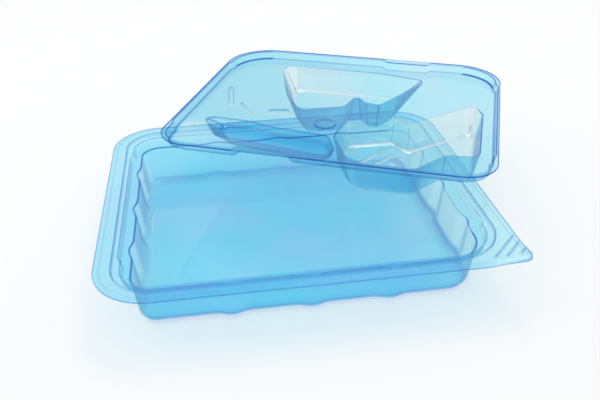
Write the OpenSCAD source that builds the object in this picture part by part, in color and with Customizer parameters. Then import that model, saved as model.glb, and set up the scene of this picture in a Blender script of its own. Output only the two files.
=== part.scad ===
// Two-piece thermoformed pack: a base tray with a wide sealing flange,
// and a shallow inner tray with formed pockets that lies askew on it.
// Origin: centre of the base tray's foot. +X along the long side,
// +Y away from the peel-tab side, +Z up. Millimetres.

/* [Sheet] */
// Thickness of the formed plastic sheet
sheet = 0.8; // [0.5:0.05:1.2]
// Side gap between the inner tray's lip and the base tray's recess
fit_gap = 0.4; // [0.2:0.05:1]

/* [Base tray] */
// Overall length over the sealing flange
base_w = 240; // [220:1:280]
// Overall depth over the sealing flange
base_d = 207; // [190:1:240]
// Height from the foot to the top of the flange
base_h = 34; // [30:0.5:48]
// Radius of the three round flange corners
base_corner_r = 32; // [30:0.5:38]
// Width of the flat sealing flange
flange_w = 9.8; // [8:0.1:11]
// Width of the lowered strip along the flange edge
bead_w = 2.8; // [1.5:0.1:4]
// Drop of the lowered strip along the flange edge
bead_drop = 0.4; // [0.2:0.05:0.7]
// Drop from the flange to the seat of the inner tray's lip
seat_drop = 1.6; // [1.2:0.1:2.4]
// Width of the seat of the inner tray's lip
seat_w = 4.4; // [3.6:0.1:5]
// Drop from the flange to the ledge under the inner tray
ledge_drop = 7.4; // [6:0.1:9]
// Width of the ledge under the inner tray
ledge_w = 4; // [3:0.1:4.6]
// Slope of the recess steps, from upright
step_draft = 12; // [6:1:20]
// Slope of the cavity wall, from upright
wall_draft = 6; // [3:0.5:9]
// Radius between the cavity wall and the floor
floor_r = 4; // [2.5:0.25:5]

/* [Flutes and snaps] */
// How far each flute bulges out of the cavity wall
flute_out = 2.3; // [1:0.1:3]
// Length of one flute along the wall
flute_l = 21; // [14:0.5:24]
// Distance from the outer flutes' centres to the corners, long sides
flute_gap_long = 42; // [36:0.5:48]
// Distance from the outer flutes' centres to the corners, short sides
flute_gap_short = 26; // [25:0.5:30]
// How far the snap ribs push out of the short sides
snap_out = 1.8; // [0.8:0.1:2.4]
// Distance from the ends of the snap ribs to the corners
snap_gap = 10; // [7:0.5:12]
// Length over which a snap rib or finger notch fades out
soft_l = 3; // [2:0.25:4]

/* [Peel tab] */
// Radius of the pointed peel-tab corner
tab_r = 6; // [4:0.5:10]
// How high the tip of the peel tab curls up
tab_lift = 3.4; // [0:0.2:5]
// Distance from the round corner line back to the crease of the tab
tab_crease_in = 8; // [5:0.5:10]
// How much wider the recess is rounded beside the tab than at the other corners
tab_corner_extra = 8; // [5:0.5:9]

/* [Inner tray] */
// Height from the foot of the pockets to the top of the lip
inner_h = 27.2; // [24:0.2:30]
// Width of the flat lip
lip_w = 3.6; // [3:0.1:4]
// Radius of the two far corners
inner_far_r = 34; // [28:0.5:40]
// Depth of the near left pocket below the plate
shallow_d = 6; // [5:0.5:8]
// Slope of the near left pocket's left end, from upright
shallow_draft = 70; // [62:1:72]
// Slope of the pocket walls, from upright
pocket_draft = 9; // [5:0.5:12]
// Slope of the far pocket's left wall, from upright
facet_draft = 20; // [14:1:22]
// Slope of the ramp at the far pocket's right end, from upright
ramp_draft = 46; // [40:1:50]
// Slope of the long slanting wall of the near right pocket, from upright
panel_draft = 13; // [8:1:18]
// Width of the plate strip behind the far pocket
far_strip = 13; // [10:0.5:16]
// Radius between the pocket walls and their floors
pocket_foot_r = 2.4; // [1.5:0.1:3]
// Bevel at the mouths of the pockets
pocket_lead = 1; // [0.6:0.1:1.4]
// Distance of the finger notches from the middle of the long sides
notch_x = 35; // [28:0.5:40]
// Half length of a finger notch
notch_half = 18; // [12:0.5:22]
// How far a finger notch reaches in at the lip
notch_in_top = 3.6; // [2:0.1:4.5]
// How far a finger notch reaches in at the plate
notch_in_low = 5.6; // [4:0.1:6]

/* [Lay of the inner tray] */
// Middle of the inner tray along X
lay_x = 48; // [44:0.5:52]
// Middle of the inner tray along Y
lay_y = 67.7; // [64:0.5:72]
// Turn of the inner tray about Z
lay_turn = -23.3; // [-26:0.1:-20]

/* [Hidden] */
tint = [0.62, 0.86, 0.95, 0.75];
arc_steps = 6;
// Turn at which the rounding between a wall and its floor is broken
foot_turn = 40;

// Straight half lengths of the base tray's sides
base_sx = base_w / 2 - base_corner_r;
base_sy = base_d / 2 - base_corner_r;
snap_half = base_sy - snap_gap;
// The right snap rib ends earlier, clear of the wider corner beside the tab
right_snap_mid = tab_corner_extra / 8;
right_snap_half = snap_half - right_snap_mid;
flute_x = base_sx - flute_gap_long;
flute_y = base_sy - flute_gap_short;

// Insets and heights of the base tray's top surface
seat_in = flange_w + seat_drop * tan(step_draft);
step_in = seat_in + seat_w;
ledge_in = step_in + (ledge_drop - seat_drop) * tan(step_draft);
wall_in = ledge_in + ledge_w;
seat_z = base_h - seat_drop;
ledge_z = base_h - ledge_drop;
wall_foot_z = sheet + floor_r;
foot_in = wall_in + (ledge_z - wall_foot_z) * tan(wall_draft);
tab_centre = [base_w / 2 - tab_r, tab_r - base_d / 2];
// How far the tab's tip stands out past the round corner
tab_reach = (base_corner_r - tab_r) * (sqrt(2) - 1);
// Distance of the tab's crease from the Z axis, along the diagonal
tab_crease = (base_sx + base_sy) / sqrt(2) + base_corner_r - tab_crease_in;

// Inner tray, drawn about the middle of its lip's top face
inner_hx = base_w / 2 - seat_in - fit_gap;
inner_hy = base_d / 2 - seat_in - fit_gap;
inner_near_r = base_corner_r - seat_in - fit_gap;
plate_z = -(ledge_drop - seat_drop);
plate_in = lip_w - plate_z * tan(step_draft);
plate_edge = plate_in + sheet;
// The snap rib of the inner tray ends before its wide far corners
inner_snap_far = inner_hy - inner_far_r - soft_l;
inner_snap_mid = (inner_snap_far - snap_half) / 2;
inner_snap_half = (inner_snap_far + snap_half) / 2;
pocket_floor_z = sheet - inner_h;
shallow_floor_z = plate_z - shallow_d;
near_y = -inner_hy + plate_edge + notch_in_low + pocket_lead + 2 * sheet;
far_y = inner_hy - plate_in - far_strip;
side_x = base_w / 2 - wall_in - fit_gap - sheet - pocket_lead;

// Pocket mouths, anticlockwise: [point, corner radius, slope of the wall after it]
far_mouth = [
    [[-68, far_y], 9, facet_draft],
    [[-46, 14], 20, facet_draft],
    [[-31, -9], 8, pocket_draft],
    [[-1, 3], 8, pocket_draft],
    [[3, 20], 2, pocket_draft],
    [[8, 22], 2.5, pocket_draft],
    [[14, 14], 3, pocket_draft],
    [[24, 12], 3, pocket_draft],
    [[49.5, far_y - 15], 4, ramp_draft],
    [[49.5, far_y - 8], 4, pocket_draft],
    [[14, far_y], 20, pocket_draft]
];
shallow_mouth = [
    [[-95, -36], 5, shallow_draft],
    [[-76, -63], 8, pocket_draft],
    [[11, near_y + 4], 8, pocket_draft],
    [[-2, -47], 8, pocket_draft],
    [[-42, -43], 20, pocket_draft],
    [[-61, -37.5], 20, pocket_draft]
];
near_mouth = [
    [[3, -47], 9, pocket_draft],
    [[16, near_y + 7], 9, pocket_draft],
    [[28, near_y], 9, pocket_draft],
    [[60, near_y], 9, pocket_draft],
    [[77, -56], 6, pocket_draft],
    [[side_x, -54], 8, pocket_draft],
    [[side_x, 12], 4, pocket_draft],
    [[side_x - 6, 27], 3, panel_draft],
    [[49, -16], 5, pocket_draft],
    [[38, -6], 6, pocket_draft],
    [[28, -9], 20, pocket_draft],
    [[5, -19], 8, pocket_draft]
];

function dir(a) = [cos(a), sin(a)];
function unit(v) = v / norm(v);
function smooth(t) = let (c = min(1, max(0, t))) c * c * (3 - 2 * c);
// 1 within half of the middle, fading to 0 over soft_l
function plateau(s, middle, half) = smooth((half + soft_l / 2 - abs(s - middle)) / soft_l);
// Stations where a plateau starts and stops to fade, in rising order
function fades(middle, half) =
    [for (e = [-1, 1], f = [-1, 1]) middle + e * half + f * soft_l / 2];
function flipped(list) = [for (k = [len(list) - 1:-1:0]) list[k]];

// One flute: a raised cosine of length flute_l about the middle
function flute(s, middle) =
    let (d = abs(s - middle)) d < flute_l / 2 ? (1 + cos(360 * d / flute_l)) / 2 : 0;
function flutes(s, gap) = flute(s, -gap) + flute(s, 0) + flute(s, gap);
function flute_stations(gap) =
    [for (m = [-gap, 0, gap], k = [-3:3]) m + flute_l * k / 6];

// Round rectangle as [point, outward normal, side, station]
// Sides 0 to 3 are right, far, left and near; 4 to 7 are the corners after them
function arc(centre, r, quarter) =
    [for (k = [0:arc_steps])
        let (a = 90 * (quarter + k / arc_steps))
        [centre + r * dir(a), dir(a), 4 + quarter, 0]];
function outline(hx, hy, r, stations) = concat(
    [for (s = stations[0]) [[hx, s], [1, 0], 0, s]],
    arc([hx - r[0], hy - r[0]], r[0], 0),
    [for (s = flipped(stations[1])) [[s, hy], [0, 1], 1, s]],
    arc([r[1] - hx, hy - r[1]], r[1], 1),
    [for (s = flipped(stations[2])) [[-hx, s], [-1, 0], 2, s]],
    arc([r[2] - hx, r[2] - hy], r[2], 2),
    [for (s = stations[3]) [[s, -hy], [0, -1], 3, s]],
    arc([hx - r[3], r[3] - hy], r[3], 3)
);

// Underside of a sheet whose top follows a list of [inset, height]
function normal(a, b) = let (d = unit(b - a)) [d[1], -d[0]];
function under(path) =
    let (last = len(path) - 1)
    [for (k = [0:last])
        let (n1 = normal(path[max(k, 1) - 1], path[max(k, 1)]),
             n2 = normal(path[min(k, last - 1)], path[min(k, last - 1) + 1]))
        path[k] + sheet * (n1 + n2) / (1 + n1 * n2)];

// Faces of the walls between rings of n points each
function wall_faces(n, count) =
    [for (j = [0:count - 2], k = [0:n - 1])
        let (a = j * n + k, b = j * n + (k + 1) % n)
        each [[a, b, b + n], [a, b + n, a + n]]];
// Closed solid through rings, its two ends closed by a fan about the Z axis
module fan_loft(rings) {
    n = len(rings[0]);
    count = len(rings);
    first = n * count;
    middles = [[0, 0, rings[0][0][2]], [0, 0, rings[count - 1][0][2]]];
    ends = [for (k = [0:n - 1])
        let (next = (k + 1) % n, low = (count - 1) * n)
        each [[first, next, k], [first + 1, low + k, low + next]]];
    polyhedron(concat([for (r = rings) each r], middles), concat(ends, wall_faces(n, count)));
}

// Snap ribs on the base tray's right and left sides
function snap_fades(side) = side == 0 ? fades(right_snap_mid, right_snap_half) : fades(0, snap_half);
function snap_share(side, s) =
    side == 0 ? plateau(s, right_snap_mid, right_snap_half)
    : side == 2 ? plateau(s, 0, snap_half)
    : 0;
// Base tray: rings follow the outline at growing insets
base_outline = outline(base_w / 2, base_d / 2,
    [base_corner_r, base_corner_r, base_corner_r, base_corner_r + tab_corner_extra],
    [for (side = [0:3])
        side % 2 == 0
            ? concat([for (f = [0, 1]) snap_fades(side)[f]],
                flute_stations(flute_y),
                [for (f = [2, 3]) snap_fades(side)[f]])
            : flute_stations(flute_x)]);
// Top surface as [inset, height, share of snap rib, share of flutes, share of tab]
base_path = [
    [0, base_h - bead_drop, 0, 0, 1],
    [bead_w, base_h - bead_drop, 0, 0, 1],
    [bead_w + bead_drop, base_h, 0, 0, 1],
    [flange_w, base_h, 0, 0, 0],
    [seat_in, seat_z, 0, 0, 0],
    [step_in, seat_z, 1, 0, 0],
    [ledge_in, ledge_z, 1, 0, 0],
    [wall_in, ledge_z, 0, 1, 0],
    [foot_in, wall_foot_z, 0, 1, 0],
    [foot_in + floor_r * (1 - cos(foot_turn)), wall_foot_z - floor_r * sin(foot_turn), 0, 1, 0],
    [foot_in + floor_r, sheet, 0, 1, 0],
    [foot_in + floor_r + sheet, sheet, 0, 1, 0]
];
base_under = under([for (p = base_path) [p[0], p[1]]]);
// The tab curls up from its crease to its tip
function tab_rise(p) =
    let (past = (p[0] - p[1]) / sqrt(2) - tab_crease)
    tab_lift * pow(max(0, past) / (tab_reach + tab_crease_in), 1.5);
function base_point(f, inset, z, shares) =
    let (out = shares[2] * snap_out * snap_share(f[2], f[3])
            + shares[3] * flute_out * (f[2] > 3 ? 0 : flutes(f[3], f[2] % 2 == 0 ? flute_y : flute_x)),
         on_tab = shares[4] == 1 && f[2] == 7,
         p = (on_tab ? tab_centre + tab_r * f[1] : f[0]) - (inset - out) * f[1])
    [p[0], p[1], z + (shares[4] == 1 ? tab_rise(p) : 0)];
function base_ring(path, k) =
    [for (f = base_outline) base_point(f, path[k][0], path[k][1], base_path[k])];

module base_tray() {
    last = len(base_path) - 1;
    color(tint) fan_loft(concat(
        [for (k = [last:-1:0]) base_ring(base_path, k)],
        [for (k = [0:last]) base_ring(base_under, k)]
    ));
}

// Inner tray's rim and plate
rim_outline = outline(inner_hx, inner_hy,
    [inner_far_r, inner_far_r, inner_near_r, inner_near_r],
    [fades(inner_snap_mid, inner_snap_half), fades(notch_x, notch_half),
        fades(inner_snap_mid, inner_snap_half), fades(-notch_x, notch_half)]);
// Top surface as [inset, height, share of snap rib, reach of finger notch]
rim_path = [
    [0, 0, 0, 0],
    [lip_w, 0, 1, notch_in_top],
    [plate_in, plate_z, 1, notch_in_low],
    [plate_edge, plate_z, 1, notch_in_low]
];
rim_under = under([for (p = rim_path) [p[0], p[1]]]);
function rim_point(f, inset, z, shares) =
    let (out = f[2] == 0 || f[2] == 2
                ? shares[2] * snap_out * plateau(f[3], inner_snap_mid, inner_snap_half)
            : f[2] == 1 ? -shares[3] * plateau(f[3], notch_x, notch_half)
            : f[2] == 3 ? -shares[3] * plateau(f[3], -notch_x, notch_half)
            : 0,
         p = f[0] - (inset - out) * f[1])
    [p[0], p[1], z];
function rim_ring(path, k) =
    [for (f = rim_outline) rim_point(f, path[k][0], path[k][1], rim_path[k])];

rim_last = len(rim_path) - 1;
rim_rings = concat(
    [for (k = [rim_last:-1:0]) rim_ring(rim_path, k)],
    [for (k = [0:rim_last]) rim_ring(rim_under, k)]);

// Pocket walls: each edge of the mouth moves in by its own slope as it goes down
mouth_z = plate_z - pocket_lead;
bevel_drop = sheet * tan(22.5);
// Where two edges meet after each has moved in by its own offset
function moved_corner(p, q, s, off1, off2) =
    let (u = unit(q - p),
         v = unit(s - q),
         turn = u[0] * v[1] - u[1] * v[0],
         along = (off1 * (u * v) - off2) / turn)
    q + off1 * [-u[1], u[0]] + along * u;
// Round corner at q between p and s
function corner_arc(p, q, s, r) =
    let (u = unit(q - p),
         v = unit(s - q),
         side = u[0] * v[1] - u[1] * v[0] > 0 ? 1 : -1,
         sweep = side * acos(u * v),
         inward = side * [-u[1], u[0]],
         middle = q - u * r * tan(abs(sweep) / 2) + r * inward,
         from = atan2(-inward[1], -inward[0]))
    [for (k = [0:arc_steps]) middle + r * dir(from + sweep * k / arc_steps)];
// Ring of a pocket at height z: deep below its bevel, plus an even inset,
// on the top of the sheet or, with under = 1, on its underside
function pocket_ring(mouth, z, deep, inset, under) =
    let (n = len(mouth),
         off = [for (m = mouth) deep * tan(m[2]) + inset - under * sheet / cos(m[2])],
         q = [for (k = [0:n - 1])
             moved_corner(mouth[(k + n - 1) % n][0], mouth[k][0], mouth[(k + 1) % n][0],
                 off[(k + n - 1) % n], off[k])])
    [for (k = [0:n - 1])
        each [for (p = corner_arc(q[(k + n - 1) % n], q[k], q[(k + 1) % n], mouth[k][1]))
            [p[0], p[1], z]]];
function pocket_top(mouth, floor_z) =
    let (foot_z = floor_z + pocket_foot_r, deep = mouth_z - foot_z)
    [pocket_ring(mouth, plate_z, 0, -pocket_lead, 0),
     pocket_ring(mouth, mouth_z, 0, 0, 0),
     pocket_ring(mouth, foot_z, deep, 0, 0),
     pocket_ring(mouth, foot_z - pocket_foot_r * sin(foot_turn), deep,
         pocket_foot_r * (1 - cos(foot_turn)), 0),
     pocket_ring(mouth, floor_z, deep, pocket_foot_r, 0)];
function pocket_under(mouth, floor_z) =
    let (r = pocket_foot_r + sheet, foot_z = floor_z + pocket_foot_r, deep = mouth_z - foot_z)
    [pocket_ring(mouth, plate_z - sheet, 0, -pocket_lead - bevel_drop, 0),
     pocket_ring(mouth, mouth_z - bevel_drop, bevel_drop, 0, 1),
     pocket_ring(mouth, foot_z, deep, 0, 1),
     pocket_ring(mouth, foot_z - r * sin(foot_turn), deep, r * (1 - cos(foot_turn)), 1),
     pocket_ring(mouth, floor_z - sheet, deep, r, 1)];

// The plate is cut into four patches between the rim and the pocket mouths.
// A patch follows the rim forwards and the mouths backwards, between these places
function rim_run(start, from, to) =
    let (n = len(rim_outline)) [for (k = [from:to]) start + k % n];
function mouth_run(start, mouth, from, to) =
    let (n = len(mouth) * (arc_steps + 1)) [for (k = [from:-1:to]) start + (k + 2 * n) % n];
function at_corner(corner) = corner * (arc_steps + 1) + arc_steps / 2;
side_count = 4;
far_right_mid = side_count + arc_steps / 2;
far_left_mid = far_right_mid + side_count + arc_steps + 1;
near_left_mid = far_left_mid + side_count + arc_steps + 1;
near_right_mid = near_left_mid + side_count + arc_steps + 1;
// Point numbers of the first rings: the rim's, then each mouth's
function plate_patches(rim0, far0, shallow0, near0) =
    let (n_far = len(far_mouth) * (arc_steps + 1),
         n_near = len(near_mouth) * (arc_steps + 1),
         n_shallow = len(shallow_mouth) * (arc_steps + 1))
    [concat(rim_run(rim0, far_right_mid, far_left_mid),
        mouth_run(far0, far_mouth, at_corner(0), at_corner(9) - n_far)),
     concat(rim_run(rim0, near_right_mid, len(rim_outline) + far_right_mid - 2),
        mouth_run(near0, near_mouth, at_corner(7), at_corner(3))),
     concat(rim_run(rim0, near_left_mid, near_right_mid),
        mouth_run(near0, near_mouth, at_corner(3), at_corner(1)),
        mouth_run(shallow0, shallow_mouth, at_corner(2), at_corner(1))),
     concat(rim_run(rim0, far_left_mid, near_left_mid),
        mouth_run(shallow0, shallow_mouth, at_corner(1), at_corner(2) - n_shallow),
        mouth_run(near0, near_mouth, at_corner(1), at_corner(7) - n_near),
        rim_run(rim0, far_right_mid - 2, far_right_mid),
        mouth_run(far0, far_mouth, at_corner(9), at_corner(0)))];
function shifted(faces, start) = [for (f = faces) [for (k = f) start + k]];
function turned(faces) = [for (f = faces) flipped(f)];

module inner_shell() {
    mouths = [far_mouth, shallow_mouth, near_mouth];
    floors = [pocket_floor_z, shallow_floor_z, pocket_floor_z];
    n_rim = len(rim_outline);
    counts = [for (m = mouths) len(m) * (arc_steps + 1)];
    levels = 5;
    rim_points = n_rim * len(rim_rings);
    // Where each pocket's points start: its top rings, then its underside rings
    starts = [rim_points,
        rim_points + 2 * levels * counts[0],
        rim_points + 2 * levels * (counts[0] + counts[1])];
    lows = [for (k = [0:2]) starts[k] + levels * counts[k]];
    polyhedron(
        concat([for (r = rim_rings) each r],
            [for (k = [0:2])
                each concat([for (r = pocket_top(mouths[k], floors[k])) each r],
                    [for (r = pocket_under(mouths[k], floors[k])) each r])]),
        concat(
            wall_faces(n_rim, len(rim_rings)),
            turned(plate_patches(0, starts[0], starts[1], starts[2])),
            plate_patches(rim_points - n_rim, lows[0], lows[1], lows[2]),
            [for (k = [0:2]) each concat(
                shifted(turned(wall_faces(counts[k], levels)), starts[k]),
                shifted(wall_faces(counts[k], levels), lows[k]),
                [flipped([for (j = [0:counts[k] - 1]) starts[k] + (levels - 1) * counts[k] + j]),
                 [for (j = [0:counts[k] - 1]) lows[k] + (levels - 1) * counts[k] + j]])]));
}

module inner_tray() {
    color(tint)
        translate([lay_x, lay_y, base_h + inner_h])
            rotate([0, 0, lay_turn])
                inner_shell();
}

base_tray();
inner_tray();
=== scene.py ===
import math
import bmesh
import bpy
from mathutils import Matrix, Vector


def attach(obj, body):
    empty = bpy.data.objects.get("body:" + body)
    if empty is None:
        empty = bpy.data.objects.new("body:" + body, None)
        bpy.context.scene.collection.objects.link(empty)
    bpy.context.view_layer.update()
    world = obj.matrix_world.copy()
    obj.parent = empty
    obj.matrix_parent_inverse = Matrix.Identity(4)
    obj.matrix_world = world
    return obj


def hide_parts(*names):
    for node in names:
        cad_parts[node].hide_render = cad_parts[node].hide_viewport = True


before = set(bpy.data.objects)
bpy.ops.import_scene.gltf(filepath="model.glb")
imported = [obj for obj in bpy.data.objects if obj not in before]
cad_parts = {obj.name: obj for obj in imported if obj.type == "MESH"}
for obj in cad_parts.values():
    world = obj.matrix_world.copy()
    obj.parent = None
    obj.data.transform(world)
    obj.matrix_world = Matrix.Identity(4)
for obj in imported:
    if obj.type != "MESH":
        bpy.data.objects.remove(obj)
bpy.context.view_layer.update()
scene = bpy.context.scene
mm = 0.001
print("frame loaded:", sorted(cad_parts))


# small helpers, all in millimetres

def smooth(t):
    c = min(1.0, max(0.0, t))
    return c * c * (3 - 2 * c)


def fade(value, start, width):      # 0 at the start, 1 past the width, which may run downwards
    return smooth((value - start) / width)


def plateau(s, middle, half, soft):
    return smooth((half + soft / 2 - abs(s - middle)) / soft)


def bump(s, middle, length):        # raised cosine of one flute
    d = abs(s - middle)
    return 0.5 + 0.5 * math.cos(2 * math.pi * d / length) if d < length / 2 else 0.0


def band(s, middle, width):         # bell around the middle
    return math.exp(-((s - middle) / width) ** 2)


def roundedFace(bm, corners, z, segments=8):      # corners: x, y, radius, anticlockwise
    others = set(bm.faces)
    spots = [Vector((x, y, z)) for x, y, *rest in corners]
    verts = [bm.verts.new(p) for p in spots]
    bm.faces.new(verts)
    count = len(spots)
    for k, vert in enumerate(verts):
        into = spots[k] - spots[k - 1]
        out = spots[(k + 1) % count] - spots[k]
        cut = corners[k][2] * math.tan(into.angle(out) / 2)
        steps = corners[k][3] if len(corners[k]) > 3 else segments
        bmesh.ops.bevel(bm, geom=[vert], offset=cut, offset_type="OFFSET", segments=steps,
                        profile=0.5, affect="VERTICES", material=-1, clamp_overlap=False)
    face = [f for f in bm.faces if f not in others][0]
    face.normal_update()
    return face


def splitSides(bm, face, step):     # extra points along the straight sides
    for edge in list(face.edges):
        cuts = int(edge.calc_length() / step)
        if cuts > 0:
            bmesh.ops.bisect_edges(bm, edges=[edge], cuts=cuts)


def roundedPath(points):            # inset and height, then radius, steps and line where it bends; the line is painted shade, a painted highlight below 0
    path = []
    for k, (t, z, *bend) in enumerate(points):
        if not bend:
            path.append((t, z, 0.0))
            continue
        r, steps, line = bend
        here = Vector((t, z))
        a = (Vector(points[k - 1][:2]) - here).normalized()
        b = (Vector(points[k + 1][:2]) - here).normalized()
        turn = math.pi - a.angle(b)
        cut = r * math.tan(turn / 2)
        mid = here + (a + b).normalized() * math.hypot(r, cut)
        first = here + a * cut - mid
        side = 1 if a.x * b.y - a.y * b.x > 0 else -1
        for j in range(steps + 1):
            w = -side * turn * j / steps
            spoke = Vector((first.x * math.cos(w) - first.y * math.sin(w),
                            first.x * math.sin(w) + first.y * math.cos(w)))
            share = math.sin(math.pi * j / steps)
            path.append((mid.x + spoke.x, mid.y + spoke.y, share * line))
    return path


def insetAlong(bm, face, path):      # one ring of faces for each step of the path
    lineAt = bm.verts.layers.float["line"]
    ringNo = bm.verts.layers.int["ring"]
    first = 1 + max(v[ringNo] for v in bm.verts)
    for k, (t, z, line) in enumerate(path):
        if k > 0:
            bmesh.ops.inset_region(bm, faces=[face], thickness=t - path[k - 1][0],
                                   depth=z - path[k - 1][1], use_even_offset=True, use_boundary=True)
        for v in face.verts:
            v[lineAt] = line
            v[ringNo] = first + k
    rings = [(step, []) for step in path]
    for v in bm.verts:
        if v[ringNo] >= first:
            rings[v[ringNo] - first][1].append(v)
    return rings


def newSheet():
    bm = bmesh.new()
    bm.verts.layers.float.new("line")
    bm.verts.layers.float.new("tone")
    bm.verts.layers.int.new("ring")
    bm.verts.layers.int.new("place")
    return bm


def openLoop(bm, known):             # the new edges with a face on one side only
    return [e for e in bm.edges if e not in known and len(e.link_faces) == 1]


def fillFlat(bm, face, loops):       # a flat face again, with openings in it
    edges = list(face.edges)
    for loop in loops:
        edges += loop
    bmesh.ops.delete(bm, geom=[face], context="FACES_ONLY")
    made = bmesh.ops.triangle_fill(bm, use_beauty=True, use_dissolve=False, edges=edges,
                                   normal=(0, 0, 1))
    for part in made["geom"]:
        if isinstance(part, bmesh.types.BMFace):
            part.smooth = False


cutEdge = {"width": 0.2, "segments": 2, "angle": 70}     # the trimmed edge of the sheet


def finishPiece(bm, name, material, sheet, place):
    bmesh.ops.recalc_face_normals(bm, faces=bm.faces[:])
    largest = max(bm.faces, key=lambda f: f.calc_area())
    if largest.normal.z < 0:
        bmesh.ops.reverse_faces(bm, faces=bm.faces[:])
    bmesh.ops.transform(bm, matrix=place @ Matrix.Scale(mm, 4), verts=bm.verts[:])
    mesh = bpy.data.meshes.new(name)
    bm.to_mesh(mesh)
    bm.free()
    piece = bpy.data.objects.new(name, mesh)
    scene.collection.objects.link(piece)
    mesh.materials.append(material)
    deepTint = piece.modifiers.new("wall", "SOLIDIFY")
    deepTint.thickness = sheet * mm
    deepTint.offset = -1
    deepTint.use_even_offset = True
    edge = piece.modifiers.new("edge", "BEVEL")
    edge.width = cutEdge["width"] * mm
    edge.segments = cutEdge["segments"]
    edge.limit_method = "ANGLE"
    edge.angle_limit = math.radians(cutEdge["angle"])
    return piece


# clear blue sheet: line paints dark bends as painted shade (white ones below 0, painted highlights);
# tone makes it paler (thinner walls, painted highlights) or deeper (partly painted shade)

film = {"pale": (0.93, 0.998, 1.0), "deepTint": (0.46, 0.82, 0.95), "deep": (0.07, 0.27, 0.72),
        # the pale diffuse and its share below are a painted highlight
        "body": (0.45, 0.80, 0.95), "bodyShare": 0.02, "paintedSheen": (0.8, 0.95, 1.0), "paintedSheenShare": 0.06,
        "cloud": 18, "cloudDetail": 2, "mottle": (2.2, -0.6),     # contrast and shift of the clouds
        "line": 1.0, "edgeOn": 0.6, "edgePower": 6, "facing": 0.5,
        "gloss": 0.06, "mirror": 0.035, "graze": 0.5, "grazePower": 5, "glint": 0.5,
        "layers": 48}                                             # surfaces that can be seen through


def mathNode(tree, operation, first, second, third=None):
    node = tree.nodes.new("ShaderNodeMath")
    node.operation = operation
    for k, value in enumerate((first, second, third)):
        if isinstance(value, bpy.types.NodeSocket):
            tree.links.new(value, node.inputs[k])
        elif value is not None:
            node.inputs[k].default_value = value
    return node.outputs["Value"]


def mixColour(tree, share, first, second):
    node = tree.nodes.new("ShaderNodeMix")
    node.data_type = "RGBA"
    tree.links.new(share, node.inputs["Factor"])
    for socket, value in ((node.inputs[6], first), (node.inputs[7], second)):     # colours A and B
        if isinstance(value, bpy.types.NodeSocket):
            tree.links.new(value, socket)
        else:
            socket.default_value = (*value, 1)
    return node.outputs[2]


def attributeNode(tree, name):      # its share above 0 and its share below 0
    node = tree.nodes.new("ShaderNodeAttribute")
    node.attribute_name = name
    value = node.outputs["Fac"]
    below = mathNode(tree, "MULTIPLY", value, -1)
    below.node.use_clamp = True
    above = mathNode(tree, "MAXIMUM", value, 0)
    above.node.use_clamp = True
    return above, below


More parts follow.
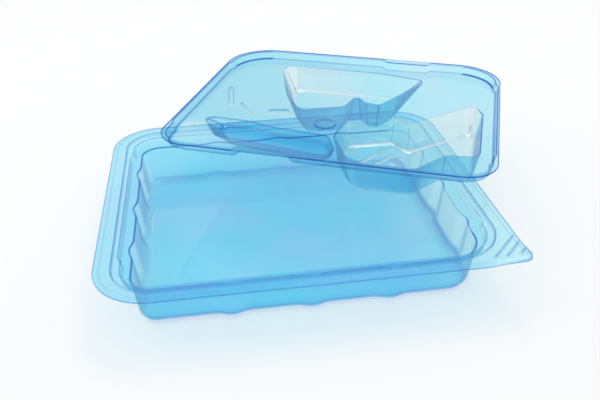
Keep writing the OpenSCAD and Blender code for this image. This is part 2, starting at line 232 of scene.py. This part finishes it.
def clearBlue(name, tints):        # two tints in clouds, which drift along X to an end tint: painted light on the base tray, painted shade on the inner tray
    mat = bpy.data.materials.new(name)
    mat.use_nodes = True
    tree = mat.node_tree
    tree.nodes.clear()
    dark, light = attributeNode(tree, "line")
    paler, deeper = attributeNode(tree, "tone")
    look = tree.nodes.new("ShaderNodeLayerWeight")
    look.inputs["Blend"].default_value = film["facing"]
    facing = look.outputs["Facing"]
    coords = tree.nodes.new("ShaderNodeTexCoord")
    cloud = tree.nodes.new("ShaderNodeTexNoise")
    cloud.inputs["Scale"].default_value = film["cloud"]
    cloud.inputs["Detail"].default_value = film["cloudDetail"]
    tree.links.new(coords.outputs["Object"], cloud.inputs["Vector"])
    mottle = mathNode(tree, "MULTIPLY_ADD", cloud.outputs["Fac"], *film["mottle"])
    mottle.node.use_clamp = True
    tint = mixColour(tree, mottle, tints["cyan"], tints["blue"])
    axes = tree.nodes.new("ShaderNodeSeparateXYZ")
    tree.links.new(coords.outputs["Object"], axes.inputs["Vector"])
    along = tree.nodes.new("ShaderNodeMapRange")
    tree.links.new(axes.outputs["X"], along.inputs["Value"])
    along.inputs["From Min"].default_value = tints["from"] * mm
    along.inputs["From Max"].default_value = tints["to"] * mm
    along.inputs["To Max"].default_value = tints["share"]
    tint = mixColour(tree, along.outputs["Result"], tint, tints["end"])
    # paler tone: thinner walls and painted highlights; deeper tone: painted shade on the far base walls,
    # a deeper tint elsewhere
    tint = mixColour(tree, paler, tint, film["pale"])
    tint = mixColour(tree, deeper, tint, film["deepTint"])
    # painted shade along the bends from the line attribute; seen edge on, the tint also darkens with the
    # view angle
    slant = mathNode(tree, "POWER", facing, film["edgePower"])
    edgeOn = mathNode(tree, "MULTIPLY", slant, film["edgeOn"])
    shade = mathNode(tree, "MULTIPLY_ADD", dark, film["line"], edgeOn)
    shade.node.use_clamp = True
    clear = tree.nodes.new("ShaderNodeBsdfTransparent")
    tree.links.new(mixColour(tree, shade, tint, film["deep"]), clear.inputs["Color"])
    body = tree.nodes.new("ShaderNodeBsdfDiffuse")
    body.inputs["Color"].default_value = (*film["body"], 1)
    # painted highlight: a pale diffuse mixed in where the tone is paler
    paintedSheen = tree.nodes.new("ShaderNodeBsdfDiffuse")
    paintedSheen.inputs["Color"].default_value = (*film["paintedSheen"], 1)
    solid = tree.nodes.new("ShaderNodeMixShader")
    solid.inputs["Fac"].default_value = film["bodyShare"]
    tree.links.new(clear.outputs["BSDF"], solid.inputs[1])
    tree.links.new(body.outputs["BSDF"], solid.inputs[2])
    sheet = tree.nodes.new("ShaderNodeMixShader")
    tree.links.new(mathNode(tree, "MULTIPLY", paler, film["paintedSheenShare"]), sheet.inputs["Fac"])
    tree.links.new(solid.outputs["Shader"], sheet.inputs[1])
    tree.links.new(paintedSheen.outputs["BSDF"], sheet.inputs[2])
    gloss = tree.nodes.new("ShaderNodeBsdfGlossy")
    gloss.inputs["Roughness"].default_value = film["gloss"]
    steep = mathNode(tree, "POWER", facing, film["grazePower"])
    graze = mathNode(tree, "MULTIPLY_ADD", steep, film["graze"], film["mirror"])
    # painted highlights: more reflection where the line attribute is below 0
    mirror = mathNode(tree, "MULTIPLY_ADD", light, film["glint"], graze)
    mirror.node.use_clamp = True
    mix = tree.nodes.new("ShaderNodeMixShader")
    tree.links.new(mirror, mix.inputs["Fac"])
    tree.links.new(sheet.outputs["Shader"], mix.inputs[1])
    tree.links.new(gloss.outputs["BSDF"], mix.inputs[2])
    out = tree.nodes.new("ShaderNodeOutputMaterial")
    tree.links.new(mix.outputs["Shader"], out.inputs["Surface"])
    return mat


# base tray

# painted light: the base tray turns paler towards +X, its lit right side
baseTints = {"cyan": (0.52, 0.91, 0.985), "blue": (0.65, 0.88, 0.992), "end": (0.78, 0.99, 0.99),
             "from": 60, "to": 118, "share": 0.65}
baseFilm = clearBlue("clearBlueBase", baseTints)
base = {"width": 240, "depth": 207, "height": 34, "sheet": 0.8, "cornerR": 32, "cornerSteps": 20,
        "edgeDrop": 0.4, "edgeWidth": 2.7, "edgeRise": 0.8,     # insets run from the outer edge
        "flange": 9.8, "seatRun": 0.34, "seatDrop": 1.6, "seatEnd": 14.54,
        "ledgeDrop": 7.4, "ledgeIn": 15.77, "wallIn": 19.77, "footIn": 22.48,
        "step": 2.4, "edgeRings": (0, 0.7, 1, 1.3, 1.6, 1.9, 2.2), "wallRings": (16, 9), "floorRing": 9,
        "flangeRings": (3.9, 0.3, 17),                          # first inset, step and count
        "bends": {"edgeFoot": (0.6, 2, 0.25), "edgeTop": (1.0, 2, 0.4), "flange": (0.9, 4, 0.75),
                  "seat": (0.7, 3, 0.2), "seatEnd": (1.0, 4, 0.5), "ledge": (1.0, 4, 0),
                  "wall": (1.3, 4, 0.95), "foot": (5, 7, -0.35)},     # radius, steps and line: painted shade, a painted highlight below 0
        "fluteOut": 2.3, "fluteLength": 21, "fluteX": 46, "fluteY": 45.5,
        "snapOut": 1.8, "snapHalf": 61.5, "rightSnap": 1, "soft": 3,
        "tabCornerR": 40, "tabSteps": 96, "tabR": 6, "tabLeastR": 0.6,
        "tabLift": 3.4, "tabCrease": 136.8, "tabSpan": 18.8, "tabCurl": 1.5,
        "tabRibs": ((138.2, 14.5), (143.4, 10), (149, 4.5)),    # place out from the middle, half length
        "ribMiddle": 16, "ribSoft": 2, "ribHigh": 0.5, "ribWide": 0.5,
        # walls paler for thinner sheet and partly as painted reflection; right walls and floor paler as
        # painted light; far walls deeper as painted shade
        "flangeTone": 0.3, "wallTone": 0.42, "rightLitTone": 0.1, "farShadeTone": -0.47, "floorTone": 0.1,
        # painted shade lines at the cut edge, on the tab ribs, at the far, near and right feet, and in
        # strokes on the right walls
        "edgeLine": 0.45, "ribLine": 0.6, "farFoot": 0.2, "nearFoot": 0.5, "rightFoot": 0.3,
        "footBand": (2.2, 1.3), "nearBand": (1.6, 0.6),         # height and width of the painted shade lines at the foot
        "strokeIn": 1, "strokeShift": 3, "strokeLength": 15, "strokeLeast": 0.25,
        "tabFade": (3.2, 6.6), "liftFade": (-0.4, 1.2), "ribFade": (1.2, 1),      # start and width
        "fluteFade": (16.58, 3.3), "snapFade": (12, 2.2), "snapEnd": (16.8, 2),
        "wallFade": (0.9, 4.5), "footFade": (6.5, -2), "floorFade": (1.6, -0.8),
        "sideFade": 8, "wallEnd": -1, "rimFade": 4, "flangeEnd": -1, "footReach": 6, "footEnd": -3}


def tabOutline(t, share):       # point on the pointed corner, from the right side to the near side
    hx, hy = base["width"] / 2 - t, base["depth"] / 2 - t
    r = max(base["tabLeastR"], base["tabR"] - t)
    run = base["tabCornerR"] - t - r
    total = 2 * run + r * math.pi / 2
    s = share * total
    if s < run:
        return Vector((hx, -(hy - run - r) - s))
    if s < total - run:
        w = (s - run) / r
        return Vector((hx - r + r * math.cos(w), -(hy - r) - r * math.sin(w)))
    return Vector((hx - r - (s - total + run), -hy))


def tabRib(p):                  # three short ribs across the tab
    along, across = (p.x - p.y) / math.sqrt(2), (p.x + p.y) / math.sqrt(2)
    return sum(band(along, place, base["ribWide"])
               * plateau(across, base["ribMiddle"], half, base["ribSoft"])
               for place, half in base["tabRibs"])


def tabRise(p):                 # the tab curls up past its crease
    past = max(0.0, (p.x - p.y) / math.sqrt(2) - base["tabCrease"])
    return base["tabLift"] * (past / base["tabSpan"]) ** base["tabCurl"] + base["ribHigh"] * tabRib(p)


def shapeBaseRing(bm, path, verts):
    lineAt, toneAt = (bm.verts.layers.float[k] for k in ("line", "tone"))
    t, z, line = path
    wallTop = base["height"] - base["ledgeDrop"]
    onWall = fade(z, *base["wallFade"]) * fade(z, wallTop, base["wallEnd"])
    onFloor = fade(z, *base["floorFade"])
    atFoot = fade(z, *base["footFade"]) * fade(t, base["footIn"] + base["footReach"], base["footEnd"])
    onFlange = fade(t, base["flange"], base["flangeEnd"])
    onRim = fade(z, wallTop, base["rimFade"])
    straightX = base["width"] / 2 - base["cornerR"]
    straightY = base["depth"] / 2 - base["cornerR"]
    corner = Vector((base["width"] / 2 - base["tabCornerR"], base["tabCornerR"] - base["depth"] / 2))
    tabShare = 1 - fade(t, *base["tabFade"])
    fluteStart, fluteWidth = base["fluteFade"]
    fluteShare = 1 - (1 - min(1.0, max(0.0, (t - fluteStart) / fluteWidth))) ** 2
    snapShare = fade(t, *base["snapFade"]) * (1 - fade(t, *base["snapEnd"]))
    flutesX = (-base["fluteX"], 0, base["fluteX"])
    flutesY = (-base["fluteY"], 0, base["fluteY"])
    for v in verts:
        x, y = v.co.x, v.co.y
        right, left = (fade(s, straightX, base["sideFade"]) for s in (x, -x))
        far, near = (fade(s, straightY, base["sideFade"]) for s in (y, -y))
        if x > corner.x and y < corner.y:
            spoke = v.co.xy - corner
            share = math.atan2(-spoke.y, spoke.x) / (math.pi / 2)
            v.co.x, v.co.y = v.co.xy.lerp(tabOutline(t, share), tabShare)
        elif abs(x) <= straightX:
            side = 1 if y > 0 else -1
            out = sum(bump(x, m, base["fluteLength"]) for m in flutesX)
            v.co.y += side * fluteShare * base["fluteOut"] * out
        elif abs(y) <= straightY:
            side = 1 if x > 0 else -1
            out = sum(bump(y, m, base["fluteLength"]) for m in flutesY)
            shift = base["rightSnap"] if x > 0 else 0
            snap = plateau(y, shift, base["snapHalf"] - shift, base["soft"])
            v.co.x += side * (fluteShare * base["fluteOut"] * out + snapShare * base["snapOut"] * snap)
        # tone: walls paler for thinner sheet and partly painted reflection, painted light on the right
        # walls and the floor, painted shade on the far walls
        v[toneAt] = (base["wallTone"] + base["rightLitTone"] * right + base["farShadeTone"] * far) * onWall
        v[toneAt] += base["floorTone"] * onFloor + base["flangeTone"] * onRim
        if right > 0 and t > base["flange"] + base["strokeIn"]:      # painted shade in short strokes at the right flutes
            stroke = sum(bump(y, m - base["strokeShift"], base["strokeLength"]) for m in flutesY)
            stroke += fade(y, corner.y + base["sideFade"], -base["sideFade"])
            v[lineAt] *= base["strokeLeast"] + (1 - base["strokeLeast"]) * min(1, stroke)
        # painted highlight along the left foot; painted shade lines along the far, right and near feet
        if atFoot > 0:
            foot = line * left * (1 - far) * (1 - near)
            foot += (base["farFoot"] * far + base["rightFoot"] * right) * band(z, *base["footBand"])
            foot += base["nearFoot"] * near * band(z, *base["nearBand"])
            v[lineAt] = foot
        if onFlange > 0 and v.co.x > 0 and v.co.y < 0:
            # painted shade lines on the tab's ribs
            ribLine = base["ribLine"] * tabRib(v.co) * onFlange * fade(t, *base["ribFade"])
            v[lineAt] = max(v[lineAt], ribLine)
            v.co.z += tabRise(v.co) * onFlange * fade(t, *base["liftFade"])


def baseTray():
    bm = newSheet()
    h, sheet, bends = base["height"], base["sheet"], base["bends"]
    edgeZ, seatZ, ledgeZ = (h - base[k] for k in ("edgeDrop", "seatDrop", "ledgeDrop"))
    hx, hy, r, steps = base["width"] / 2, base["depth"] / 2, base["cornerR"], base["cornerSteps"]
    face = roundedFace(bm, [(hx, hy, r, steps), (-hx, hy, r, steps), (-hx, -hy, r, steps),
                            (hx, -hy, base["tabCornerR"], base["tabSteps"])], edgeZ)
    splitSides(bm, face, base["step"])
    first, gap, count = base["flangeRings"]
    lean = (base["footIn"] - base["wallIn"]) / (ledgeZ - sheet)
    points = [(t, edgeZ) for t in base["edgeRings"]]
    points += [(base["edgeWidth"], edgeZ, *bends["edgeFoot"]),
               (base["edgeWidth"] + base["edgeRise"], h, *bends["edgeTop"])]
    points += [(first + gap * k, h) for k in range(count)]
    points += [(base["flange"], h, *bends["flange"]),
               (base["flange"] + base["seatRun"], seatZ, *bends["seat"]),
               (base["seatEnd"], seatZ, *bends["seatEnd"]),
               (base["ledgeIn"], ledgeZ, *bends["ledge"]),
               (base["wallIn"], ledgeZ, *bends["wall"])]
    points += [(base["wallIn"] + lean * (ledgeZ - z), z) for z in base["wallRings"]]
    points += [(base["footIn"], sheet, *bends["foot"]), (base["footIn"] + base["floorRing"], sheet)]
    path = roundedPath(points)
    # a painted shade line along the cut edge
    path[0] = (0, edgeZ, base["edgeLine"])
    rings = insetAlong(bm, face, path)
    for f in bm.faces:
        f.smooth = f != face
    for ringPath, verts in rings:
        shapeBaseRing(bm, ringPath, verts)
    return finishPiece(bm, "base_tray_sheet", baseFilm, sheet, Matrix.Identity(4))


baseSheet = baseTray()
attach(baseSheet, "root")
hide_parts("base_tray")
print("base tray:", len(baseSheet.data.polygons), "faces before its wall")


# inner tray, in its own frame about the middle of the lip

# painted shade: the inner tray turns deeper towards -X, the shaded side
innerTints = {"cyan": (0.665, 0.952, 0.985), "blue": (0.78, 0.925, 0.992), "end": (0.45, 0.81, 0.89),
              "from": 120, "to": -40, "share": 0.45}
innerFilm = clearBlue("clearBlueInner", innerTints)
nestGap = 0.4                                            # all round the lip in the base tray's seat
nestIn = base["flange"] + base["seatRun"] + nestGap      # from the base tray's edge to the lip
inner = {"halfX": base["width"] / 2 - nestIn, "halfY": base["depth"] / 2 - nestIn,
         "nearR": base["cornerR"] - nestIn, "nearSteps": 18, "farR": 34, "farSteps": 24,
         "height": 27.2, "sheet": 0.8, "lip": 3.6, "plate": -5.8, "plateIn": 4.83, "shallow": 6,
         "lay": (48, 67.7), "turn": -23.3,
         # edgeLines are painted shade lines along the cut edge of the rim
         "step": 2.4, "edgeRings": (0, 0.4, 0.7), "edgeLines": (1.0, 0.6), "plateRing": 1.4,
         "lipBend": (1.0, 5, 1.0), "plateBend": (1.2, 6, 1.0),           # radius, steps and line of painted shade
         "notchX": 35, "notchHalf": 18, "notchTop": 3.6, "notchLow": 5.6, "notchFade": (0.7, 1.9),
         "snapOut": 1.8, "snapMiddle": -2.77, "snapHalf": 58.73, "soft": 3, "slack": 0.5,
         # weights of the painted shade lines along the lip, the far side and the sides
         "edgeEnd": 1, "edgeJog": 0.8, "lipLine": 0.35, "farLine": 0.3, "sideLine": 0.5,
         "skirtTone": 0.7, "skirtFrom": 0.02, "skirtTo": 0.98,
         # a painted sheen, paler towards the near left corner of the plate
         "toneIn": 1, "cornerSheen": 0.9, "paleX": (-30, -40), "paleY": (-40, -20),
         # painted shade lines at the pocket mouths and corners; white creases and pale shining facets
         # are painted highlights
         "mouthR": 1.0, "mouthSteps": 4, "mouthFlat": 0.2, "mouthLine": 0.6,
         "footR": 2.4, "footSteps": 6, "footClear": 3, "arcSteps": 8, "insetSeed": 0.001,
         "tightR": 4, "tightReach": 2, "creaseR": 6, "creaseLine": 0.55,
         "glintR": 9, "glintFrom": 0.5, "shineTone": 0.85, "shineLine": 0.2,
         "bar": (1.3, -0.5, 0), "hub": (1.6, 0.5, 0.3), "rib": (1.2, -0.6, 1),     # height, line, tone; a line below 0 is a painted highlight, above 0 painted shade
         "barRound": 0.42, "barSteps": 6, "hubSteps": 40,
         "formRings": ((0, 0, 0), (0.3, 0.25, 1), (0.6, 0.75, 1), (0.9, 1, 0))}    # inset, height, line
nearY, farY, sideX = -79.73, 75.1, 98.03                    # where pocket walls run along the rim
facet, ramp, panel, slope, wall = 20, 46, 13, 70, 9         # lean of the pocket walls, from upright
pockets = {        # x, y, radius, lean of the wall that follows, shine of the facet (a painted highlight), stroke of its mouth (painted shade)
    "far": [(-68, farY, 9, facet, 0.8), (-46, 14, 20, facet, -0.5), (-31, -9, 8, wall, -0.5),
            (-1, 3, 8, wall, 0, 1), (3, 20, 2, wall, -0.3, 1), (8, 22, 2.5, wall, -0.3, 1),
            (14, 14, 3, wall, -0.3, 1), (24, 12, 3, wall, -0.3, 1), (49.5, farY - 15, 4, ramp, -0.2, 1),
            (49.5, farY - 8, 4, wall), (14, farY, 20, wall)],
    "shallow": [(-95, -36, 5, slope), (-76, -63, 8, wall), (11, nearY + 4, 8, wall), (-2, -47, 8, wall),
                (-42, -43, 20, wall), (-61, -37.5, 20, wall)],
    "near": [(3, -47, 9, wall, 0, 0.8), (16, nearY + 7, 9, wall, 0, 0.5), (28, nearY, 9, wall, -0.3),
             (60, nearY, 9, wall, -0.6), (77, -56, 6, wall, 0.15), (sideX, -54, 8, wall, 0, 0.8),
             (sideX, 12, 4, wall, 0, 0.8), (sideX - 6, 27, 3, panel, 1.1), (49, -16, 5, wall, 1.1),
             (38, -6, 6, wall, 1.1), (28, -9, 20, wall, 1.1), (5, -19, 8, wall, 1.0)]}
pocketLooks = {"far": (0.08, 0.15, -0.3, -0.05), "shallow": (-0.2, -0.75, 0.25, 0),
               "near": (0, 1, -0.3, -0.15)}        # tones of wall and floor, lines of foot and floor; the pale near floor and lines below 0 are painted highlights, lines above 0 painted shade
plateBars = [((-87, 0), 37, 5, -70), ((-68, -19), 24, 3.2, -51),
             ((-44, -19), 17, 9, 14)]                       # middle, length, width, turn
floorRibs = [((25.5, -33.5), 28, 3.4, 62), ((34.5, -36.5), 28, 3.4, 58), ((44.5, -34), 14, 3.4, 66)]
hub = ((-7, -31), 8)                                        # middle, radius


def plateSheen(p):                # painted sheen: paler towards the near left corner
    return inner["cornerSheen"] * fade(p.x, *inner["paleX"]) * fade(p.y, *inner["paleY"])


def shapeRimRing(bm, path, verts):
    lineAt, toneAt = (bm.verts.layers.float[k] for k in ("line", "tone"))
    t, z = path[:2]
    low = smooth(z / inner["plate"])
    share = fade(t, *inner["notchFade"])
    reach = share * (inner["notchTop"] + (inner["notchLow"] - inner["notchTop"]) * low)
    for v in verts:
        x, y = v.co.x, v.co.y
        if t > inner["plateIn"] + inner["toneIn"]:
            v[toneAt] = plateSheen(v.co)
        if abs(y) > inner["halfY"] - t - inner["slack"]:
            side = 1 if y > 0 else -1
            notch = plateau(x, side * inner["notchX"], inner["notchHalf"], inner["soft"])
            v.co.y -= side * reach * notch
            # painted shade lines along the lip, weaker on the far side and the sides
            if t < inner["edgeEnd"]:
                v[lineAt] *= 1 - inner["edgeJog"] * notch          # the painted shade line jogs in
            elif low < 0.5:
                v[lineAt] *= inner["lipLine"] + (1 - inner["lipLine"]) * notch
            elif side > 0:
                v[lineAt] *= inner["farLine"]
            if side < 0 and inner["skirtFrom"] < low < inner["skirtTo"]:
                v[toneAt] = inner["skirtTone"]
        elif abs(x) > inner["halfX"] - t - inner["slack"]:
            side = 1 if x > 0 else -1
            snap = plateau(y, inner["snapMiddle"], inner["snapHalf"], inner["soft"])
            v.co.x += side * share * inner["snapOut"] * snap
            v[lineAt] *= inner["sideLine"] if low > 0.5 else 1


def movedCorner(p, q, s, offIn, offOut):       # where two walls meet after each has moved in
    u, v = (q - p).normalized(), (s - q).normalized()
    turn = u.x * v.y - u.y * v.x
    along = (offIn * u.dot(v) - offOut) / turn
    return q + offIn * Vector((-u.y, u.x)) + along * u


def cornerArc(p, q, s, r, steps):
    u, v = (q - p).normalized(), (s - q).normalized()
    side = 1 if u.x * v.y - u.y * v.x > 0 else -1
    sweep = side * math.acos(max(-1.0, min(1.0, u.dot(v))))
    inward = side * Vector((-u.y, u.x))
    middle = q - u * r * math.tan(abs(sweep) / 2) + r * inward
    start = math.atan2(-inward.y, -inward.x)
    turns = [start + sweep * k / steps for k in range(steps + 1)]
    return [middle + r * Vector((math.cos(w), math.sin(w))) for w in turns]


def pocketRing(corners, deep, inset, z, steps):
    count = len(corners)
    spots = [Vector(c[:2]) for c in corners]
    off = [deep * math.tan(math.radians(c[3])) + inset for c in corners]
    moved = [movedCorner(spots[k - 1], spots[k], spots[(k + 1) % count], off[k - 1], off[k])
             for k in range(count)]
    return [Vector((p.x, p.y, z)) for k in range(count)
            for p in cornerArc(moved[k - 1], moved[k], moved[(k + 1) % count], corners[k][2], steps)]


def pocketLevels(z, floorZ, wallTone, floorTone, footLine, floorLine):
    m, r = inner["mouthR"], inner["footR"]
    levels = [(0, -m - inner["mouthFlat"], z, 0, 0)]        # depth of wall, inset, height, line, tone
    for j in range(inner["mouthSteps"] + 1):
        share = j / inner["mouthSteps"]
        w = math.pi / 2 * share
        levels.append((0, -m * (1 - math.sin(w)), z - m * (1 - math.cos(w)),
                       inner["mouthLine"] * math.sin(math.pi * share), wallTone * share))
    footZ = floorZ + r
    for j in range(inner["footSteps"] + 1):
        share = j / inner["footSteps"]
        w = math.pi / 2 * share
        levels.append((z - m - footZ, r * (1 - math.cos(w)), footZ - r * math.sin(w),
                       footLine * math.sin(math.pi * share) + floorLine * share,
                       wallTone + (floorTone - wallTone) * share))
    return levels


def pocket(bm, corners, z, *look):
    lineAt, toneAt = (bm.verts.layers.float[k] for k in ("line", "tone"))
    place = bm.verts.layers.int["place"]
    steps = inner["arcSteps"]
    known = set(bm.edges)
    face = roundedFace(bm, [c[:3] for c in corners], z, steps)
    verts = list(face.verts)
    levels = pocketLevels(z, *look)
    start = pocketRing(corners, *levels[0][:3], steps)
    lead = min(range(len(verts)), key=lambda k: (verts[k].co - start[0]).length)
    for k in range(len(verts)):
        verts[(lead + k) % len(verts)][place] = k
    for k, (deep, inset, height, line, tone) in enumerate(levels):
        if k > 0:
            bmesh.ops.inset_region(bm, faces=[face], thickness=inner["insetSeed"], depth=0,
                                   use_even_offset=False, use_boundary=True)
        spots = pocketRing(corners, deep, inset, height, steps)
        onWall = inner["mouthSteps"] < k < len(levels) - inner["footClear"]
        for v in face.verts:
            corner = corners[v[place] // (steps + 1)]
            radius = corner[2]
            shine, stroke = (*corner[4:], 0, 0)[:2]
            glint = shine > inner["glintFrom"]
            reach = inner["tightReach"] if radius <= inner["tightR"] else 1
            crease = max(0, 1 - abs(v[place] % (steps + 1) - steps / 2) / reach)
            crease *= onWall and radius <= inner["glintR" if glint else "creaseR"]
            crease *= -1 if glint else 1                    # white painted highlight or dark painted shade
            # painted highlights on shining facets, painted shade strokes along the mouths
            shine *= 0 < k < len(levels) - 1
            v.co = spots[v[place]]
            v[lineAt] = line + stroke * max(0, line) - inner["shineLine"] * shine
            v[lineAt] += inner["creaseLine"] * crease
            v[toneAt] = tone + inner["shineTone"] * shine if k > 0 else plateSheen(v.co)
    return openLoop(bm, known), face


def barFace(bm, z, middle, length, width, turn):
    spin = Matrix.Rotation(math.radians(turn), 2)
    x, y = length / 2, width / 2
    spots = [Vector(middle) + spin @ Vector(p) for p in ((x, y), (-x, y), (-x, -y), (x, -y))]
    return roundedFace(bm, [(*p, width * inner["barRound"]) for p in spots], z, inner["barSteps"])


def hubFace(bm, z, middle, radius):
    made = bmesh.ops.create_circle(bm, cap_ends=True, segments=inner["hubSteps"], radius=radius,
                                   matrix=Matrix.Translation((*middle, z)))
    return made["verts"][0].link_faces[0]


def raisedForm(bm, makeFace, z, look, *sizes):       # a low form on a flat
    height, line, tone = look
    toneAt = bm.verts.layers.float["tone"]
    known = set(bm.edges)
    face = makeFace(bm, z, *sizes)
    path = [(t, z + high * height, share * line) for t, high, share in inner["formRings"]]
    for ringPath, verts in insetAlong(bm, face, path):
        for v in verts:
            v[toneAt] = tone
    return openLoop(bm, known)


def innerTray():
    bm = newSheet()
    hx, hy = inner["halfX"], inner["halfY"]
    far, near = (inner["farR"], inner["farSteps"]), (inner["nearR"], inner["nearSteps"])
    plateZ = inner["plate"]
    floorZ = inner["sheet"] - inner["height"]
    rim = roundedFace(bm, [(hx, hy, *far), (-hx, hy, *far), (-hx, -hy, *near), (hx, -hy, *near)], 0)
    splitSides(bm, rim, inner["step"])
    path = roundedPath([(t, 0) for t in inner["edgeRings"]]
                       + [(inner["lip"], 0, *inner["lipBend"]),
                          (inner["plateIn"], plateZ, *inner["plateBend"]),
                          (inner["plateIn"] + inner["plateRing"], plateZ)])
    for k, line in enumerate(inner["edgeLines"]):
        path[k] = (inner["edgeRings"][k], 0, line)
    for ringPath, verts in insetAlong(bm, rim, path):
        shapeRimRing(bm, ringPath, verts)
    floors = {"far": floorZ, "shallow": plateZ - inner["shallow"], "near": floorZ}
    loops = []
    floorFaces = {}
    for name, corners in pockets.items():
        loop, floorFaces[name] = pocket(bm, corners, plateZ, floors[name], *pocketLooks[name])
        loops.append(loop)
    for form in plateBars:
        loops.append(raisedForm(bm, barFace, plateZ, inner["bar"], *form))
    loops.append(raisedForm(bm, hubFace, plateZ, inner["hub"], *hub))
    ribLoops = [raisedForm(bm, barFace, floorZ, inner["rib"], *form) for form in floorRibs]
    for f in bm.faces:
        f.smooth = len(f.verts) <= 4
    fillFlat(bm, rim, loops)
    fillFlat(bm, floorFaces["near"], ribLoops)
    spot = Vector((*inner["lay"], base["height"] + inner["height"])) * mm     # stands on the flange
    place = Matrix.Translation(spot) @ Matrix.Rotation(math.radians(inner["turn"]), 4, "Z")
    return finishPiece(bm, "inner_tray_sheet", innerFilm, inner["sheet"], place)


innerSheet = innerTray()
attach(innerSheet, "root")
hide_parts("inner_tray")
print("inner tray:", len(innerSheet.data.polygons), "faces before its wall")


# floor, light and camera, in metres

stage = {"floor": (0.97, 0.975, 0.98), "roughness": 0.6, "specular": 0.1, "size": 6.0, "drop": 0.0003,
         "sky": 0.72, "seenSky": 1.0, "seenFloor": 0.4}
lamps = {"key": {"spot": (-0.9, 0.1, 1.0), "size": 0.6, "power": 2.2},
         "back": {"spot": (0.35, 0.55, 1.5), "size": 0.6, "power": 6}}


def seenShare(tree, amount, start):      # more where it is seen, with no light added
    path = tree.nodes.new("ShaderNodeLightPath")
    seen = mathNode(tree, "MAXIMUM", path.outputs["Is Camera Ray"], path.outputs["Is Glossy Ray"])
    seen = mathNode(tree, "MAXIMUM", seen, path.outputs["Is Transmission Ray"])
    return mathNode(tree, "MULTIPLY_ADD", seen, amount, start)


def makeFloor():
    bm = bmesh.new()
    bmesh.ops.create_grid(bm, x_segments=2, y_segments=2, size=stage["size"])
    bmesh.ops.translate(bm, vec=(0, 0, -stage["drop"]), verts=bm.verts[:])
    mesh = bpy.data.meshes.new("floor")
    bm.to_mesh(mesh)
    bm.free()
    floor = bpy.data.objects.new("floor", mesh)
    scene.collection.objects.link(floor)
    mat = bpy.data.materials.new("paleFloor")
    mat.use_nodes = True
    tree = mat.node_tree
    shader = tree.nodes["Principled BSDF"]
    shader.inputs["Base Color"].default_value = (*stage["floor"], 1)
    shader.inputs["Roughness"].default_value = stage["roughness"]
    shader.inputs["Specular IOR Level"].default_value = stage["specular"]
    white = tree.nodes.new("ShaderNodeEmission")          # its strength of 1 is white
    mix = tree.nodes.new("ShaderNodeMixShader")
    tree.links.new(seenShare(tree, stage["seenFloor"], 0), mix.inputs["Fac"])
    tree.links.new(shader.outputs["BSDF"], mix.inputs[1])
    tree.links.new(white.outputs["Emission"], mix.inputs[2])
    tree.links.new(mix.outputs["Shader"], tree.nodes["Material Output"].inputs["Surface"])
    mesh.materials.append(mat)


def softLamp(name, spot, size, power):      # a square lamp, aimed at the origin
    data = bpy.data.lights.new(name, "AREA")
    data.size = size
    data.energy = power
    lamp = bpy.data.objects.new(name, data)
    scene.collection.objects.link(lamp)
    lamp.location = spot
    lamp.rotation_euler = (-Vector(spot)).to_track_quat("-Z", "Y").to_euler()


def makeWorld():
    world = bpy.data.worlds.new("studio")
    scene.world = world
    world.use_nodes = True
    tree = world.node_tree
    sky = tree.nodes["Background"]
    sky.inputs["Color"].default_value = (1, 1, 1, 1)
    seen = seenShare(tree, stage["seenSky"] - stage["sky"], stage["sky"])
    tree.links.new(seen, sky.inputs["Strength"])


view = {"focal": 671.16, "frameWidth": 600, "sensor": 36, "clip": 0.01,       # focal length in pixels
        "pitch": 31.747, "roll": -0.5844, "yaw": 8.3866, "spot": (-50.305, -374.684, 256.325)}


def makeCamera():
    pitch, roll, yaw = (math.radians(view[k]) for k in ("pitch", "roll", "yaw"))
    ahead = Vector((math.sin(yaw) * math.cos(pitch), math.cos(yaw) * math.cos(pitch), -math.sin(pitch)))
    right = Vector((math.cos(yaw), -math.sin(yaw), 0))
    over = right.cross(ahead)
    x = right * math.cos(roll) + over * math.sin(roll)
    y = over * math.cos(roll) - right * math.sin(roll)
    data = bpy.data.cameras.new("photoView")
    data.sensor_width = view["sensor"]
    data.lens = view["sensor"] * view["focal"] / view["frameWidth"]
    data.clip_start = view["clip"]
    camera = bpy.data.objects.new("photoView", data)
    scene.collection.objects.link(camera)
    turn = Matrix((x, y, -ahead)).transposed().to_4x4()
    camera.matrix_world = Matrix.Translation(Vector(view["spot"]) * mm) @ turn
    scene.camera = camera


makeFloor()
makeWorld()
for lampName, settings in lamps.items():
    softLamp(lampName, **settings)
makeCamera()
scene.view_settings.view_transform = "Standard"
scene.cycles.transparent_max_bounces = film["layers"]
print("floor, light and camera set")
